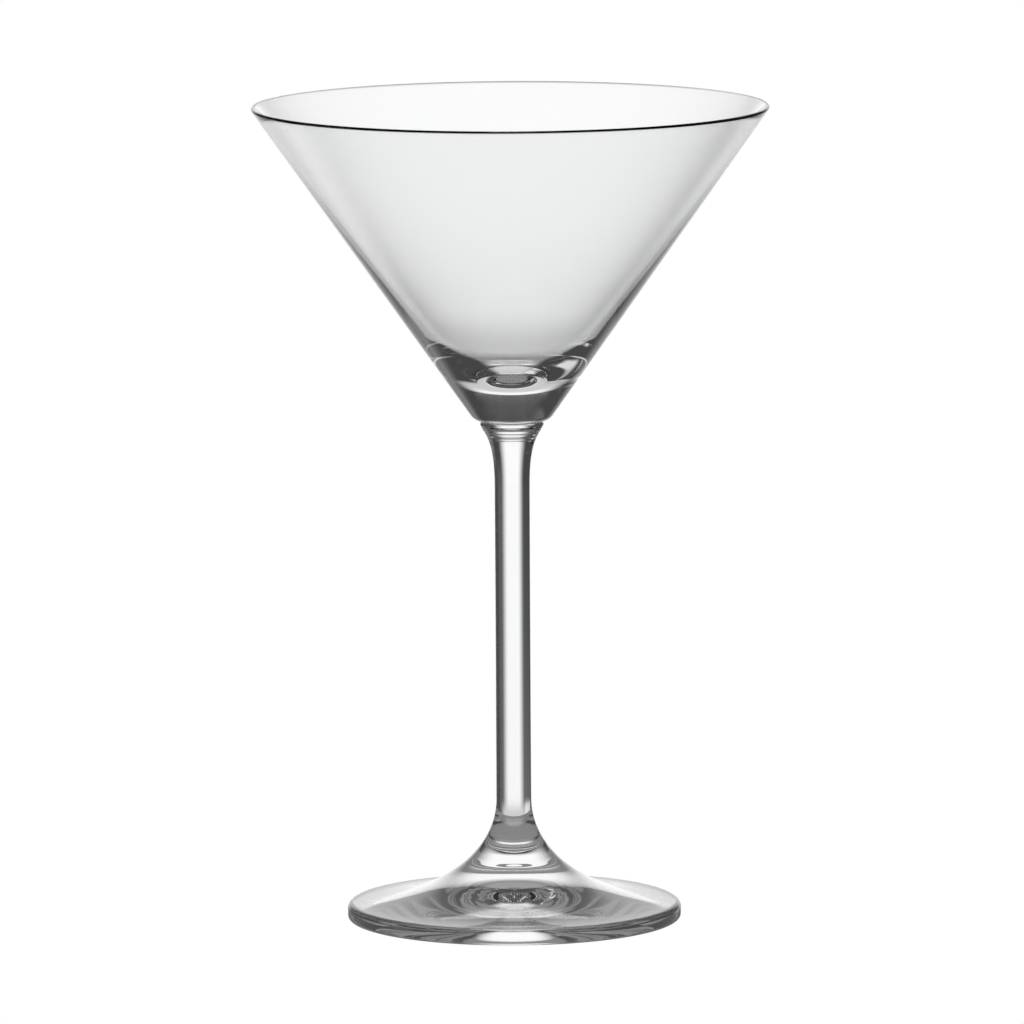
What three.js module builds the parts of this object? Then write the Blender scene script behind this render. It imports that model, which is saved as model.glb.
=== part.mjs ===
// A stemmed martini glass in clear glass: a cone bowl, a drawn stem and a pressed foot, fused end to end.
// Millimetres, +Z up. The origin is the centre of the ring that the foot stands on.
import * as THREE from "three";

// Overall sizes
const GLASS_HEIGHT = 180;
const FOOT_HEIGHT = 26.5; // standing plane to the foot's fused neck
const STEM_LENGTH = 84; // fused neck to the underside of the bowl
const BOWL_HEIGHT = GLASS_HEIGHT - FOOT_HEIGHT - STEM_LENGTH;
const SIDES = 64; // flat sides round each turned body

// Bowl
const RIM_RADIUS = 56.75;
const CONE_ANGLE = THREE.MathUtils.degToRad(35.2); // outer wall, from the axis
const LIP_RADIUS = 0.42; // full round of the fire-polished lip
const UPPER_WALL = 1.22; // level thickness that pulls the inner wall a third of the way down
const LOWER_WALL = 1.2; // the same, two thirds of the way down
const WALL_FOOT = 3.2; // level thickness where the wall starts to turn in to the bottom
const WALL_FOOT_HEIGHT = 20.7; // above the underside of the bowl
const BOWL_BASE_THICKNESS = 9.6; // solid glass under the lowest point inside
const BOTTOM_FLAT = 10; // pull of the flat bottom on the curve
const BOTTOM_TURN = 4.4; // pull of the wall on the curve

// Stem
const SHAFT_RADIUS = 3.88; // at both ends of the straight shaft
const SHAFT_WAIST_RADIUS = 3.85;
const HEAD_RADIUS = 7; // flared head under the bowl
const HEAD_LENGTH = 13.75; // the flare, from the shaft to the bead
const HEAD_BEAD = 0.7; // rolled edge at the top of the head
const FLARE_INSET = 0.85; // slope of the flare under the bead
const FLARE_DROP = 2.4;
const FLARE_PULL = 2.8; // how far up the shaft's own line pulls the flare
const FUSED_RADIUS = HEAD_RADIUS - HEAD_BEAD; // the joint lies in a notch above the bead

// Foot
const FOOT_RADIUS = 36.75;
const FOOT_EDGE_HEIGHT = 3.65;
const FOOT_TOP_CORNER = 1.2;
const FOOT_BOTTOM_CORNER = 0.8;
const NECK_CURVE_HEIGHT = 13.4; // pull of the sweep down the axis under the neck
const SKIRT_CURVE_REACH = 15.7; // pull of the sweep inwards from the edge
const SKIRT_CURVE_LIFT = 0.3; // pull of the sweep above the edge
const STANDING_RING_WIDTH = 1.9;
const HOLLOW_RISE = 5.3; // the hollow under the foot, at the centre
const HOLLOW_CROWN_PULL = 10.9; // pull of the hollow's curve outwards from the centre
const HOLLOW_SKIRT_PULL = 17.3; // pull of the hollow's curve inwards from the ring
const HOLLOW_SKIRT_LIFT = 0.4; // and above it

const clearGlass = (name) =>
  new THREE.MeshStandardMaterial({
    name,
    color: 0xf4f7f6,
    roughness: 0.03,
    metalness: 0,
    transparent: true,
    opacity: 0.35,
  });

// A body turned about the Z axis from a profile of radius and height.
function turned(name, profile) {
  const geometry = new THREE.LatheGeometry(profile, SIDES).rotateX(Math.PI / 2);
  const mesh = new THREE.Mesh(geometry, clearGlass(name + "_glass"));
  mesh.name = name;
  return mesh;
}

// Points of a circular arc, from one angle to another, both ends included.
function arc(centreRadius, centreHeight, radius, from, to, steps) {
  return Array.from({ length: steps + 1 }, (_, i) => {
    const angle = from + ((to - from) * i) / steps;
    return new THREE.Vector2(
      centreRadius + radius * Math.cos(angle),
      centreHeight + radius * Math.sin(angle),
    );
  });
}

// The bowl: a cone wall with a rounded lip, thickening downwards and turning in to a solid base.
function makeBowl() {
  const wallDown = -CONE_ANGLE; // direction square to the outer wall, pointing out and down
  const wallUp = Math.PI - CONE_ANGLE; // the opposite direction, in and up
  const lipCentre = new THREE.Vector2(RIM_RADIUS - LIP_RADIUS, BOWL_HEIGHT - LIP_RADIUS);
  const tangentRadius = lipCentre.x + LIP_RADIUS * Math.cos(wallDown);
  const tangentHeight = lipCentre.y + LIP_RADIUS * Math.sin(wallDown);
  const outerRadius = (height) => tangentRadius - (tangentHeight - height) * Math.tan(CONE_ANGLE);

  const cornerTurn = Math.PI / 2 - CONE_ANGLE;
  const cornerSize = (outerRadius(0) - FUSED_RADIUS) / Math.tan(cornerTurn / 2);

  const innerTop = new THREE.Vector2(
    lipCentre.x + LIP_RADIUS * Math.cos(wallUp),
    lipCentre.y + LIP_RADIUS * Math.sin(wallUp),
  );
  const wallPull = (share, thickness) => {
    const height = innerTop.y + (WALL_FOOT_HEIGHT - innerTop.y) * share;
    return new THREE.Vector2(outerRadius(height) - thickness, height);
  };
  const lowerPull = wallPull(2 / 3, LOWER_WALL);
  const wallFoot = wallPull(1, WALL_FOOT);
  const wall = new THREE.CubicBezierCurve(
    innerTop,
    wallPull(1 / 3, UPPER_WALL),
    lowerPull,
    wallFoot,
  );
  const bottom = new THREE.CubicBezierCurve(
    wallFoot,
    wallFoot.clone().sub(lowerPull).setLength(BOTTOM_TURN).add(wallFoot),
    new THREE.Vector2(BOTTOM_FLAT, BOWL_BASE_THICKNESS),
    new THREE.Vector2(0, BOWL_BASE_THICKNESS),
  );

  return turned("bowl", [
    new THREE.Vector2(0, 0),
    ...arc(FUSED_RADIUS, cornerSize, cornerSize, -Math.PI / 2, wallDown, 4),
    ...arc(lipCentre.x, lipCentre.y, LIP_RADIUS, wallDown, 0, 2),
    ...arc(lipCentre.x, lipCentre.y, LIP_RADIUS, 0, Math.PI / 2, 4).slice(1),
    ...arc(lipCentre.x, lipCentre.y, LIP_RADIUS, Math.PI / 2, wallUp, 2).slice(1),
    ...wall.getPoints(6).slice(1),
    ...bottom.getPoints(9).slice(1),
  ]);
}

// The stem: a slim rod, a little waisted, that flares to a head with a rolled edge.
function makeStem() {
  const beadHeight = STEM_LENGTH - HEAD_BEAD;
  const shaftEnd = beadHeight - HEAD_LENGTH;
  const shaft = new THREE.QuadraticBezierCurve(
    new THREE.Vector2(SHAFT_RADIUS, 0),
    new THREE.Vector2(2 * SHAFT_WAIST_RADIUS - SHAFT_RADIUS, shaftEnd / 2),
    new THREE.Vector2(SHAFT_RADIUS, shaftEnd),
  );
  const flare = new THREE.CubicBezierCurve(
    new THREE.Vector2(SHAFT_RADIUS, shaftEnd),
    new THREE.Vector2(SHAFT_RADIUS, beadHeight - FLARE_PULL),
    new THREE.Vector2(HEAD_RADIUS - FLARE_INSET, beadHeight - FLARE_DROP),
    new THREE.Vector2(HEAD_RADIUS, beadHeight),
  );
  return turned("stem", [
    new THREE.Vector2(0, 0),
    ...shaft.getPoints(4),
    ...flare.getPoints(10).slice(1),
    ...arc(FUSED_RADIUS, beadHeight, HEAD_BEAD, 0, Math.PI / 2, 3).slice(1),
    new THREE.Vector2(0, STEM_LENGTH),
  ]);
}

// The foot: a disc whose top sweeps up into the neck, domed underneath inside a flat standing ring.
function makeFoot() {
  const ringOuter = FOOT_RADIUS - FOOT_BOTTOM_CORNER;
  const ringInner = ringOuter - STANDING_RING_WIDTH;
  const skirtRadius = FOOT_RADIUS - FOOT_TOP_CORNER;
  const topCornerHeight = FOOT_EDGE_HEIGHT - FOOT_TOP_CORNER;
  const hollow = new THREE.CubicBezierCurve(
    new THREE.Vector2(0, HOLLOW_RISE),
    new THREE.Vector2(HOLLOW_CROWN_PULL, HOLLOW_RISE),
    new THREE.Vector2(ringInner - HOLLOW_SKIRT_PULL, HOLLOW_SKIRT_LIFT),
    new THREE.Vector2(ringInner, 0),
  );
  const sweep = new THREE.CubicBezierCurve(
    new THREE.Vector2(skirtRadius, FOOT_EDGE_HEIGHT),
    new THREE.Vector2(skirtRadius - SKIRT_CURVE_REACH, FOOT_EDGE_HEIGHT + SKIRT_CURVE_LIFT),
    new THREE.Vector2(SHAFT_RADIUS, FOOT_HEIGHT - NECK_CURVE_HEIGHT),
    new THREE.Vector2(SHAFT_RADIUS, FOOT_HEIGHT),
  );
  return turned("foot", [
    ...hollow.getPoints(12),
    ...arc(ringOuter, FOOT_BOTTOM_CORNER, FOOT_BOTTOM_CORNER, -Math.PI / 2, 0, 4),
    ...arc(skirtRadius, topCornerHeight, FOOT_TOP_CORNER, 0, Math.PI / 2, 4),
    ...sweep.getPoints(16).slice(1),
    new THREE.Vector2(0, FOOT_HEIGHT),
  ]);
}

const foot = makeFoot();
const stem = makeStem();
const bowl = makeBowl();
stem.position.z = FOOT_HEIGHT;
bowl.position.z = FOOT_HEIGHT + STEM_LENGTH;

const glass = new THREE.Group();
glass.name = "martini_glass";
glass.add(foot, stem, bowl);

export default glass;
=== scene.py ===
"""A clear stemmed martini glass: a cone bowl, a drawn stem and a pressed foot, fused end to end."""

import math

import bpy
from mathutils import Euler, Matrix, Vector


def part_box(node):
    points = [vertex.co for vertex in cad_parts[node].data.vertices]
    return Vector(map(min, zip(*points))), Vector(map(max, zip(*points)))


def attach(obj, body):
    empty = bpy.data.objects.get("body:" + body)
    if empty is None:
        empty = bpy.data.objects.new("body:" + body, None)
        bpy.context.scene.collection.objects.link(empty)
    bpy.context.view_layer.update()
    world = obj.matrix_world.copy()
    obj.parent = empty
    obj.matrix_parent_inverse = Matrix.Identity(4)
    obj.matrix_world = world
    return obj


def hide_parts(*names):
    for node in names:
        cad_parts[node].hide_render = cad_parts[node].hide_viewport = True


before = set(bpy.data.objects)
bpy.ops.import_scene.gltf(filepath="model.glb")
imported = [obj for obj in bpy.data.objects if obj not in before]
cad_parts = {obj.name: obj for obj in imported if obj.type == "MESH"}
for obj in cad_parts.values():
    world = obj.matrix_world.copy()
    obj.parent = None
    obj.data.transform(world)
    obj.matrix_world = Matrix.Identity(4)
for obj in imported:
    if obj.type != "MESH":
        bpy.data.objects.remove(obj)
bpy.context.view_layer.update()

# ---------------------------------------------------------------- foot
# The foot is a disc of soda glass, pressed hot and spun, whose top sweeps up into a narrow neck.
# It stands on a flat ring and is domed underneath. The spinning leaves fine rings on the sweep,
# and the edge is fire-polished round.

MM = 0.001
SIDES = 192  # segments round every turned piece


def arc(radius_at, height_at, size, start, end, steps):
    """Points on a circular arc in the radius and height plane, from one angle to another in degrees."""
    points = []
    for i in range(steps + 1):
        angle = math.radians(start + (end - start) * i / steps)
        points.append((radius_at + size * math.cos(angle), height_at + size * math.sin(angle)))
    return points


def curve(controls, steps):
    """Points on a Bezier curve through any number of control points."""
    degree = len(controls) - 1
    points = []
    for i in range(steps + 1):
        t = i / steps
        radius = 0.0
        height = 0.0
        for k, (r, z) in enumerate(controls):
            weight = math.comb(degree, k) * t**k * (1 - t) ** (degree - k)
            radius += weight * r
            height += weight * z
        points.append((radius, height))
    return points


def straight(start, end, steps):
    """Evenly spaced points on a line, so that long quads stay short enough to shade smoothly."""
    points = []
    for i in range(steps + 1):
        t = i / steps
        points.append((start[0] + (end[0] - start[0]) * t, start[1] + (end[1] - start[1]) * t))
    return points


def tool_rings(profile, low, high, spacing, depth):
    """The same profile with shallow rings pressed into it between two heights, fading at both ends."""
    ringed = []
    for radius, height in profile:
        share = (height - low) / (high - low)
        if 0 < share < 1 and radius > spacing:
            fade = math.sin(math.pi * share) ** 2
            radius += depth * fade * math.sin(2 * math.pi * (height - low) / spacing)
        ringed.append((radius, height))
    return ringed


def turned(name, profile, welds):
    """A closed body turned round the Z axis from a profile that starts and ends on it.
    welds holds the heights of the flat faces where the hot glass is fused to the next piece."""
    points = []
    rings = []
    for radius, height in profile:
        if radius < 1e-7:
            rings.append([len(points)])
            points.append((0.0, 0.0, height))
            continue
        rings.append(list(range(len(points), len(points) + SIDES)))
        for side in range(SIDES):
            turn = 2 * math.pi * side / SIDES
            points.append((radius * math.cos(turn), radius * math.sin(turn), height))
    faces = []
    fused = []
    for low, high, lower, upper in zip(profile, profile[1:], rings, rings[1:]):
        is_weld = low[1] == high[1] and low[1] in welds
        for side in range(SIDES):
            after = (side + 1) % SIDES
            if len(lower) == 1:
                face = (lower[0], upper[after], upper[side])
            elif len(upper) == 1:
                face = (lower[side], lower[after], upper[0])
            else:
                face = (lower[side], lower[after], upper[after], upper[side])
            faces.append(face)
            fused.append(is_weld)
    mesh = bpy.data.meshes.new(name)
    mesh.from_pydata(points, [], faces)
    for polygon, is_weld in zip(mesh.polygons, fused):
        polygon.use_smooth = not is_weld
        polygon.material_index = int(is_weld)
    mesh.validate()
    piece = bpy.data.objects.new(name, mesh)
    bpy.context.scene.collection.objects.link(piece)
    return piece


def spin_ring_group():
    """Fine rings left by the spinning tool, as a height that changes with distance from the axis."""
    group = bpy.data.node_groups.new("spin rings", "ShaderNodeTree")
    face = group.interface
    spacing = face.new_socket("Rings per Metre", in_out="INPUT", socket_type="NodeSocketFloat")
    spacing.default_value = 400
    wander = face.new_socket("Wander", in_out="INPUT", socket_type="NodeSocketFloat")
    wander.default_value = 0.3
    face.new_socket("Height", in_out="OUTPUT", socket_type="NodeSocketFloat")
    nodes = group.nodes
    links = group.links
    entry = nodes.new("NodeGroupInput")
    leave = nodes.new("NodeGroupOutput")
    place = nodes.new("ShaderNodeTexCoord")
    apart = nodes.new("ShaderNodeSeparateXYZ")
    links.new(place.outputs["Object"], apart.inputs[0])
    square_x = nodes.new("ShaderNodeMath")
    square_x.operation = "MULTIPLY"
    links.new(apart.outputs["X"], square_x.inputs[0])
    links.new(apart.outputs["X"], square_x.inputs[1])
    square_sum = nodes.new("ShaderNodeMath")
    square_sum.operation = "MULTIPLY_ADD"
    links.new(apart.outputs["Y"], square_sum.inputs[0])
    links.new(apart.outputs["Y"], square_sum.inputs[1])
    links.new(square_x.outputs[0], square_sum.inputs[2])
    distance = nodes.new("ShaderNodeMath")
    distance.operation = "SQRT"
    links.new(square_sum.outputs[0], distance.inputs[0])
    joined = nodes.new("ShaderNodeCombineXYZ")
    links.new(distance.outputs[0], joined.inputs["X"])
    links.new(apart.outputs["Z"], joined.inputs["Y"])
    noise = nodes.new("ShaderNodeTexNoise")
    noise.inputs["Detail"].default_value = 2.0
    links.new(joined.outputs[0], noise.inputs["Vector"])
    links.new(entry.outputs["Rings per Metre"], noise.inputs["Scale"])
    broad = nodes.new("ShaderNodeTexNoise")
    broad.inputs["Scale"].default_value = 40.0
    broad.inputs["Detail"].default_value = 1.0
    links.new(place.outputs["Object"], broad.inputs["Vector"])
    both = nodes.new("ShaderNodeMath")
    both.operation = "MULTIPLY_ADD"
    links.new(broad.outputs[0], both.inputs[0])
    links.new(entry.outputs["Wander"], both.inputs[1])
    links.new(noise.outputs[0], both.inputs[2])
    links.new(both.outputs[0], leave.inputs["Height"])
    return group


def wear_group():
    """Faint smears left by wiping and drying: 0 on clean glass, rising to 1 in scattered patches."""
    group = bpy.data.node_groups.new("wipe marks", "ShaderNodeTree")
    face = group.interface
    size = face.new_socket("Marks per Metre", in_out="INPUT", socket_type="NodeSocketFloat")
    size.default_value = 60
    cover = face.new_socket("Clean Share", in_out="INPUT", socket_type="NodeSocketFloat")
    cover.default_value = 0.6
    face.new_socket("Mask", in_out="OUTPUT", socket_type="NodeSocketFloat")
    nodes = group.nodes
    links = group.links
    entry = nodes.new("NodeGroupInput")
    leave = nodes.new("NodeGroupOutput")
    place = nodes.new("ShaderNodeTexCoord")
    flatten = nodes.new("ShaderNodeMapping")
    flatten.inputs["Scale"].default_value = (1.0, 1.0, 3.0)
    links.new(place.outputs["Object"], flatten.inputs["Vector"])
    smear = nodes.new("ShaderNodeTexNoise")
    smear.inputs["Detail"].default_value = 4.0
    smear.inputs["Distortion"].default_value = 0.6
    links.new(flatten.outputs[0], smear.inputs["Vector"])
    links.new(entry.outputs["Marks per Metre"], smear.inputs["Scale"])
    ramp = nodes.new("ShaderNodeMapRange")
    ramp.interpolation_type = "SMOOTHSTEP"
    links.new(smear.outputs[0], ramp.inputs["Value"])
    links.new(entry.outputs["Clean Share"], ramp.inputs["From Min"])
    ramp.inputs["From Max"].default_value = 0.9
    links.new(ramp.outputs["Result"], leave.inputs["Mask"])
    return group


def weld_material():
    """Where two gathers of hot glass are fused there is no surface left, so light goes straight on."""
    weld = bpy.data.materials.new("fused glass")
    weld.use_nodes = True
    nodes = weld.node_tree.nodes
    nodes.clear()
    clear = nodes.new("ShaderNodeBsdfTransparent")
    out = nodes.new("ShaderNodeOutputMaterial")
    weld.node_tree.links.new(clear.outputs[0], out.inputs["Surface"])
    return weld


spin_rings = spin_ring_group()
wipe_marks = wear_group()
fused_glass = weld_material()


def glass_material(name, tint, rings_per_metre, ring_depth, marks_per_metre, mark_roughness):
    """Clear polished glass with faint tool marks in its surface and a few wipe marks on it."""
    glass = bpy.data.materials.new(name)
    glass.use_nodes = True
    nodes = glass.node_tree.nodes
    links = glass.node_tree.links
    shader = nodes["Principled BSDF"]
    shader.inputs["Base Color"].default_value = tint
    shader.inputs["IOR"].default_value = 1.51
    shader.inputs["Transmission Weight"].default_value = 1.0
    marks = nodes.new("ShaderNodeGroup")
    marks.node_tree = spin_rings
    marks.inputs["Rings per Metre"].default_value = rings_per_metre
    bump = nodes.new("ShaderNodeBump")
    bump.inputs["Strength"].default_value = 1.0
    bump.inputs["Distance"].default_value = ring_depth
    links.new(marks.outputs["Height"], bump.inputs["Height"])
    links.new(bump.outputs["Normal"], shader.inputs["Normal"])
    wear = nodes.new("ShaderNodeGroup")
    wear.node_tree = wipe_marks
    wear.inputs["Marks per Metre"].default_value = marks_per_metre
    dulled = nodes.new("ShaderNodeMapRange")
    links.new(wear.outputs["Mask"], dulled.inputs["Value"])
    dulled.inputs["To Min"].default_value = 0.0
    dulled.inputs["To Max"].default_value = mark_roughness
    links.new(dulled.outputs["Result"], shader.inputs["Roughness"])
    return glass


foot_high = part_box("foot")[1]
foot_radius = foot_high[0]
neck_top = foot_high[2]
neck_radius = 3.88 * MM
neck_pull = 13.4 * MM  # how far down the axis the neck holds the sweep upright
edge_height = 3.65 * MM
top_corner = 1.2 * MM
bottom_corner = 0.8 * MM
ring_outer = foot_radius - bottom_corner
ring_width = 1.9 * MM
ring_inner = ring_outer - ring_width
hollow_rise = 5.3 * MM
crown_pull = 10.9 * MM  # how far out the crown of the dome stays level
dome_pull = 17.3 * MM  # how far in from the ring the dome stays low
dome_lift = 0.4 * MM
skirt_radius = foot_radius - top_corner
skirt_pull = 15.7 * MM  # how far in from the edge the skirt stays low
skirt_lift = 0.3 * MM
ring_low = 9 * MM  # the tool rings lie between these heights
ring_high = 18 * MM
ring_spacing = 1.3 * MM
ring_depth = 0.012 * MM

foot_profile = curve(
    [
        (0, hollow_rise),
        (crown_pull, hollow_rise),
        (ring_inner - dome_pull, dome_lift),
        (ring_inner, 0),
    ],
    48,
)
foot_profile += arc(ring_outer, bottom_corner, bottom_corner, -90, 0, 12)
foot_profile += arc(skirt_radius, edge_height - top_corner, top_corner, 0, 90, 12)
foot_profile += curve(
    [
        (skirt_radius, edge_height),
        (skirt_radius - skirt_pull, edge_height + skirt_lift),
        (neck_radius, neck_top - neck_pull),
        (neck_radius, neck_top),
    ],
    144,
)[1:]
foot_profile = tool_rings(foot_profile, ring_low, ring_high, ring_spacing, ring_depth)
weld_margin = 0.02 * MM  # a narrow band, so that the fused face doesn't bend the shading beside it
foot_profile.insert(-1, (neck_radius, neck_top - weld_margin))
foot_profile.append((0, neck_top))

foot = turned("foot_glass", foot_profile, {neck_top})
foot_glass = glass_material(
    "pressed foot glass",
    tint=(0.98, 0.985, 0.985, 1),
    rings_per_metre=90,
    ring_depth=0.0006 * MM,
    marks_per_metre=90,
    mark_roughness=0.05,
)
foot.data.materials.append(foot_glass)
foot.data.materials.append(fused_glass)
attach(foot, "root")
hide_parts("foot")

# ---------------------------------------------------------------- stem
# The stem is a slim rod of glass drawn from the hot bowl, a little waisted, with a flared head.
# Shearing and fusing the head to the bowl leaves a few rolled rings just under the joint.

stem_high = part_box("stem")[1]
weld_height = stem_high[2]
head_radius = stem_high[0]
shaft_radius = neck_radius
waist_radius = 3.85 * MM
head_bead = 0.7 * MM
head_length = 13.75 * MM
head_pull = 2.8 * MM
head_inset = 0.85 * MM
head_drop = 2.4 * MM
fused_radius = head_radius - head_bead
bead_height = weld_height - head_bead
shaft_end = bead_height - head_length

stem_profile = [(0, neck_top)]
stem_profile += curve(
    [
        (shaft_radius, neck_top),
        (2 * waist_radius - shaft_radius, (neck_top + shaft_end) / 2),
        (shaft_radius, shaft_end),
    ],
    24,
)
stem_profile.insert(2, (shaft_radius, neck_top + weld_margin))
stem_profile += curve(
    [
        (shaft_radius, shaft_end),
        (shaft_radius, bead_height - head_pull),
        (head_radius - head_inset, bead_height - head_drop),
        (head_radius, bead_height),
    ],
    64,
)[1:]
collar_height = 3.4 * MM  # the sheared collar under the bead, with its rolled rings
collar_spacing = 0.9 * MM
collar_depth = 0.03 * MM
collar_low = bead_height - collar_height
stem_profile = tool_rings(stem_profile, collar_low, bead_height, collar_spacing, collar_depth)
stem_profile += arc(fused_radius, bead_height, head_bead, 0, 90, 8)[1:]
stem_profile.append((0, weld_height))

stem = turned("stem_glass", stem_profile, {neck_top, weld_height})
stem_glass = glass_material(
    "drawn stem glass",
    tint=(0.985, 0.99, 0.99, 1),
    rings_per_metre=60,
    ring_depth=0.0005 * MM,
    marks_per_metre=120,
    mark_roughness=0.03,
)
stem.data.materials.append(stem_glass)
stem.data.materials.append(fused_glass)
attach(stem, "root")
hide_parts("stem")

# ---------------------------------------------------------------- bowl
# The bowl is blown in a spinning mould: a thin cone that thickens downwards into a solid base.
# The lip is cut and fire-polished to a full round.

bowl_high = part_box("bowl")[1]
rim_height = bowl_high[2]
rim_radius = bowl_high[0]
lip = 0.42 * MM
lip_radius = rim_radius - lip
lip_height = rim_height - lip
cone_angle = 35.2
cone_slope = math.tan(math.radians(cone_angle))
wall_top_radius = lip_radius + lip * math.cos(math.radians(cone_angle))
wall_top_height = lip_height - lip * math.sin(math.radians(cone_angle))


def cone_radius(height):
    """Radius of the straight outer wall at a height."""
    return wall_top_radius - (wall_top_height - height) * cone_slope


base_corner = (cone_radius(weld_height) - fused_radius) / math.tan(math.radians(90 - cone_angle) / 2)
base_arc = arc(fused_radius, weld_height + base_corner, base_corner, -90, -cone_angle, 16)
lip_arc = arc(lip_radius, lip_height, lip, -cone_angle, 180 - cone_angle, 24)

bottom_height = weld_height + 9.6 * MM
bottom_flat = 10 * MM
bottom_pull = 4.4 * MM
wall_end_height = weld_height + 20.7 * MM
wall_controls = [lip_arc[-1]]
for share, thickness in ((1 / 3, 1.22 * MM), (2 / 3, 1.2 * MM), (1, 3.2 * MM)):
    height = lip_arc[-1][1] + (wall_end_height - lip_arc[-1][1]) * share
    wall_controls.append((cone_radius(height) - thickness, height))
wall_end = wall_controls[-1]
lead_r = wall_end[0] - wall_controls[-2][0]
lead_z = wall_end[1] - wall_controls[-2][1]
lead = math.hypot(lead_r, lead_z)
turn_in = (wall_end[0] + lead_r / lead * bottom_pull, wall_end[1] + lead_z / lead * bottom_pull)

bowl_profile = [(0, weld_height)]
bowl_profile += base_arc
bowl_profile += straight(base_arc[-1], lip_arc[0], 48)[1:-1]
bowl_profile += lip_arc
bowl_profile += curve(wall_controls, 64)[1:]
bowl_profile += curve([wall_end, turn_in, (bottom_flat, bottom_height), (0, bottom_height)], 48)[1:]

bowl = turned("bowl_glass", bowl_profile, {weld_height})
bowl_glass = glass_material(
    "blown bowl glass",
    tint=(0.985, 0.988, 0.99, 1),
    rings_per_metre=40,
    ring_depth=0.0005 * MM,
    marks_per_metre=45,
    mark_roughness=0.04,
)
bowl.data.materials.append(bowl_glass)
bowl.data.materials.append(fused_glass)
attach(bowl, "root")
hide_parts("bowl")

# ---------------------------------------------------------------- table
# A plain white table under the glass, lit evenly, so that it shows no shadow and no edge. Through
# the glass, the table close under the foot shows a painted shadow of the foot: an even grey glow.

table_mesh = bpy.data.meshes.new("white_table")
table_half = 3.0
table_mesh.from_pydata(
    [
        (-table_half, -table_half, 0),
        (table_half, -table_half, 0),
        (table_half, table_half, 0),
        (-table_half, table_half, 0),
    ],
    [],
    [(0, 1, 2, 3)],
)
table = bpy.data.objects.new("white_table", table_mesh)
bpy.context.scene.collection.objects.link(table)
table.location.z = -0.2 * MM

painted_shadow_radius = 48 * MM  # beyond this the glass is given the studio's light instead of the table's
painted_shadow_strength = 0.25
white = bpy.data.materials.new("white table with painted shadow under foot")
white.use_nodes = True
white_nodes = white.node_tree.nodes
white_links = white.node_tree.links
white_nodes.clear()
spot = white_nodes.new("ShaderNodeNewGeometry")
spot_distance = white_nodes.new("ShaderNodeVectorMath")
spot_distance.operation = "LENGTH"
white_links.new(spot.outputs["Position"], spot_distance.inputs[0])
# painted shadow: a dim grey glow under the foot, seen only by rays that come through the glass
under_foot_painted_shadow = white_nodes.new("ShaderNodeEmission")
under_foot_painted_shadow.inputs["Color"].default_value = (1, 1, 1, 1)
under_foot_painted_shadow.inputs["Strength"].default_value = painted_shadow_strength
beyond = white_nodes.new("ShaderNodeBsdfTransparent")
is_far = white_nodes.new("ShaderNodeMath")
is_far.operation = "GREATER_THAN"
white_links.new(spot_distance.outputs["Value"], is_far.inputs[0])
is_far.inputs[1].default_value = painted_shadow_radius
near_or_far = white_nodes.new("ShaderNodeMixShader")
white_links.new(is_far.outputs[0], near_or_far.inputs[0])
white_links.new(under_foot_painted_shadow.outputs[0], near_or_far.inputs[1])
white_links.new(beyond.outputs[0], near_or_far.inputs[2])
plain = white_nodes.new("ShaderNodeEmission")
plain.inputs["Color"].default_value = (1, 1, 1, 1)
plain.inputs["Strength"].default_value = 1.0
path = white_nodes.new("ShaderNodeLightPath")
seen_or_through = white_nodes.new("ShaderNodeMixShader")
white_links.new(path.outputs["Is Camera Ray"], seen_or_through.inputs[0])
white_links.new(near_or_far.outputs[0], seen_or_through.inputs[1])
white_links.new(plain.outputs[0], seen_or_through.inputs[2])
white_out = white_nodes.new("ShaderNodeOutputMaterial")
white_links.new(seen_or_through.outputs[0], white_out.inputs["Surface"])
table.data.materials.append(white)

# ---------------------------------------------------------------- studio
# Plain soft cards of light round the glass: a lit backdrop behind it, the bright table in front of
# that, a soft box overhead and three pale cards at the sides and back, in a dim room. The camera
# sees the backdrop as even white.

sky = bpy.data.worlds.new("studio")
bpy.context.scene.world = sky
sky.use_nodes = True
sky_nodes = sky.node_tree.nodes
sky_links = sky.node_tree.links
sky_nodes.clear()


def soft_card_group():
    """A soft-edged card: 1 between left and right and between low and high, 0 outside them."""
    group = bpy.data.node_groups.new("soft card", "ShaderNodeTree")
    face = group.interface
    for name in ("Across", "Up", "Left", "Right", "Low", "High", "Side Blur", "Height Blur"):
        face.new_socket(name, in_out="INPUT", socket_type="NodeSocketFloat")
    face.new_socket("Mask", in_out="OUTPUT", socket_type="NodeSocketFloat")
    nodes = group.nodes
    links = group.links
    entry = nodes.new("NodeGroupInput")
    leave = nodes.new("NodeGroupOutput")
    steps = []
    for place, edge, blur, rising in (
        ("Across", "Left", "Side Blur", True),
        ("Across", "Right", "Side Blur", False),
        ("Up", "Low", "Height Blur", True),
        ("Up", "High", "Height Blur", False),
    ):
        before = nodes.new("ShaderNodeMath")
        before.operation = "SUBTRACT"
        links.new(entry.outputs[edge], before.inputs[0])
        links.new(entry.outputs[blur], before.inputs[1])
        after = nodes.new("ShaderNodeMath")
        after.operation = "ADD"
        links.new(entry.outputs[edge], after.inputs[0])
        links.new(entry.outputs[blur], after.inputs[1])
        step = nodes.new("ShaderNodeMapRange")
        step.interpolation_type = "SMOOTHSTEP"
        links.new(entry.outputs[place], step.inputs["Value"])
        links.new(before.outputs[0], step.inputs["From Min"])
        links.new(after.outputs[0], step.inputs["From Max"])
        step.inputs["To Min"].default_value = 0.0 if rising else 1.0
        step.inputs["To Max"].default_value = 1.0 if rising else 0.0
        steps.append(step.outputs["Result"])
    mask = steps[0]
    for step in steps[1:]:
        times = nodes.new("ShaderNodeMath")
        times.operation = "MULTIPLY"
        links.new(mask, times.inputs[0])
        links.new(step, times.inputs[1])
        mask = times.outputs[0]
    links.new(mask, leave.inputs["Mask"])
    return group


soft_card = soft_card_group()
room_level = 0.06

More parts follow.
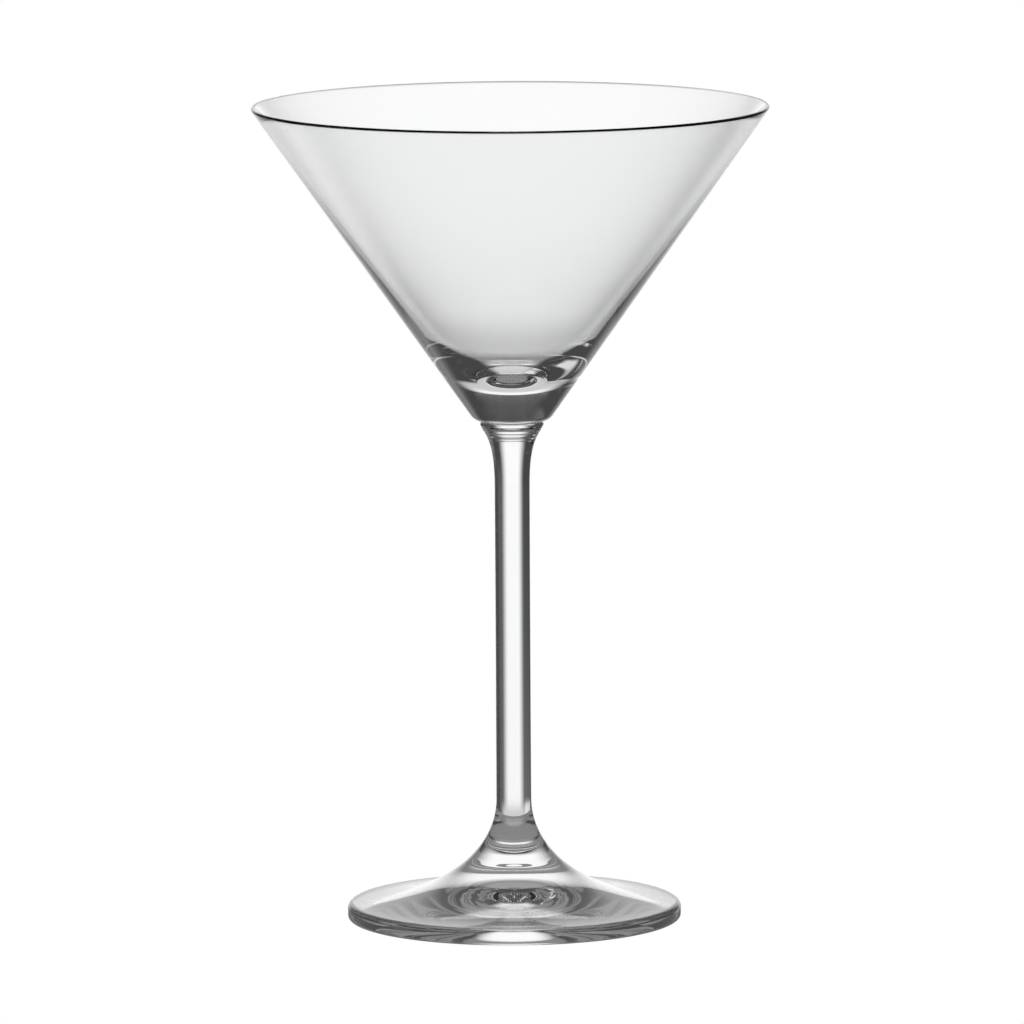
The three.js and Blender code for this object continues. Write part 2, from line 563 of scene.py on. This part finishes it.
heading = sky_nodes.new("ShaderNodeTexCoord")
heading_apart = sky_nodes.new("ShaderNodeSeparateXYZ")
sky_links.new(heading.outputs["Generated"], heading_apart.inputs[0])
turn_angle = sky_nodes.new("ShaderNodeMath")
turn_angle.operation = "ARCTAN2"
sky_links.new(heading_apart.outputs["X"], turn_angle.inputs[0])
sky_links.new(heading_apart.outputs["Y"], turn_angle.inputs[1])
azimuth = sky_nodes.new("ShaderNodeMath")
azimuth.operation = "DEGREES"
sky_links.new(turn_angle.outputs[0], azimuth.inputs[0])
rise_angle = sky_nodes.new("ShaderNodeMath")
rise_angle.operation = "ARCSINE"
sky_links.new(heading_apart.outputs["Z"], rise_angle.inputs[0])
elevation = sky_nodes.new("ShaderNodeMath")
elevation.operation = "DEGREES"
sky_links.new(rise_angle.outputs[0], elevation.inputs[0])


def light_card(under, level, left, right, low, high, blur):
    """Adds one soft card to the light so far, or to the bare room's if there is none yet.
    Its edges are in degrees, round from +Y towards +X and up from the horizon."""
    card = sky_nodes.new("ShaderNodeGroup")
    card.node_tree = soft_card
    sky_links.new(azimuth.outputs[0], card.inputs["Across"])
    sky_links.new(elevation.outputs[0], card.inputs["Up"])
    card.inputs["Left"].default_value = left
    card.inputs["Right"].default_value = right
    card.inputs["Low"].default_value = low
    card.inputs["High"].default_value = high
    card.inputs["Side Blur"].default_value = blur
    card.inputs["Height Blur"].default_value = blur
    added = sky_nodes.new("ShaderNodeMath")
    added.operation = "MULTIPLY_ADD"
    sky_links.new(card.outputs["Mask"], added.inputs[0])
    added.inputs[1].default_value = level
    if under is None:
        added.inputs[2].default_value = room_level
    else:
        sky_links.new(under, added.inputs[2])
    return added.outputs[0]


# the lit backdrop behind the glass, and the bright table in front of it
light = light_card(None, level=1.0, left=-20, right=20, low=-15, high=30, blur=10)
light = light_card(light, level=0.6, left=-30, right=30, low=-45, high=-15, blur=10)
# one soft box overhead
light = light_card(light, level=0.3, left=-40, right=40, low=35, high=70, blur=10)
# pale cards round the table, so that the glass is clear from its other sides too
card_half_width = 15
card_half_height = 12
for bearing, height in ((-45, -25), (-90, -3), (135, -15)):
    light = light_card(
        light,
        level=0.75,
        left=bearing - card_half_width,
        right=bearing + card_half_width,
        low=height - card_half_height,
        high=height + card_half_height,
        blur=6,
    )

seen = sky_nodes.new("ShaderNodeLightPath")
plain_white = sky_nodes.new("ShaderNodeMix")
plain_white.data_type = "FLOAT"
sky_links.new(seen.outputs["Is Camera Ray"], plain_white.inputs[0])
sky_links.new(light, plain_white.inputs[2])
plain_white.inputs[3].default_value = 1.0
background = sky_nodes.new("ShaderNodeBackground")
background.inputs["Color"].default_value = (1, 1, 1, 1)
sky_links.new(plain_white.outputs[0], background.inputs["Strength"])
sky_out = sky_nodes.new("ShaderNodeOutputWorld")
sky_links.new(background.outputs[0], sky_out.inputs["Surface"])

# ---------------------------------------------------------------- camera
# A long lens on a stand in front of the table. It is set well above the rim, looks down a little
# and is a hair off level.

lens_length = 371.25
camera_distance = 2.3
camera_height = 0.4052
camera_aside = -0.08 * MM
camera_pitch = 7.796  # degrees below level
camera_roll = -0.307
camera = bpy.data.objects.new("camera", bpy.data.cameras.new("camera"))
bpy.context.scene.collection.objects.link(camera)
camera.data.sensor_width = 36
camera.data.lens = lens_length
camera.data.clip_start = 0.01
camera.data.clip_end = 50
camera.location = (camera_aside, -camera_distance, camera_height)
look_down = Euler((math.radians(90 - camera_pitch), 0, 0)).to_matrix()
rolled = Matrix.Rotation(math.radians(camera_roll), 3, "Z")
camera.rotation_euler = (look_down @ rolled).to_euler()
bpy.context.scene.camera = camera

scene = bpy.context.scene
scene.view_settings.view_transform = "Standard"
scene.view_settings.look = "None"
scene.cycles.max_bounces = 32
scene.cycles.glossy_bounces = 24
scene.cycles.transmission_bounces = 32
scene.cycles.transparent_max_bounces = 32
scene.cycles.caustics_reflective = True
scene.cycles.caustics_refractive = True
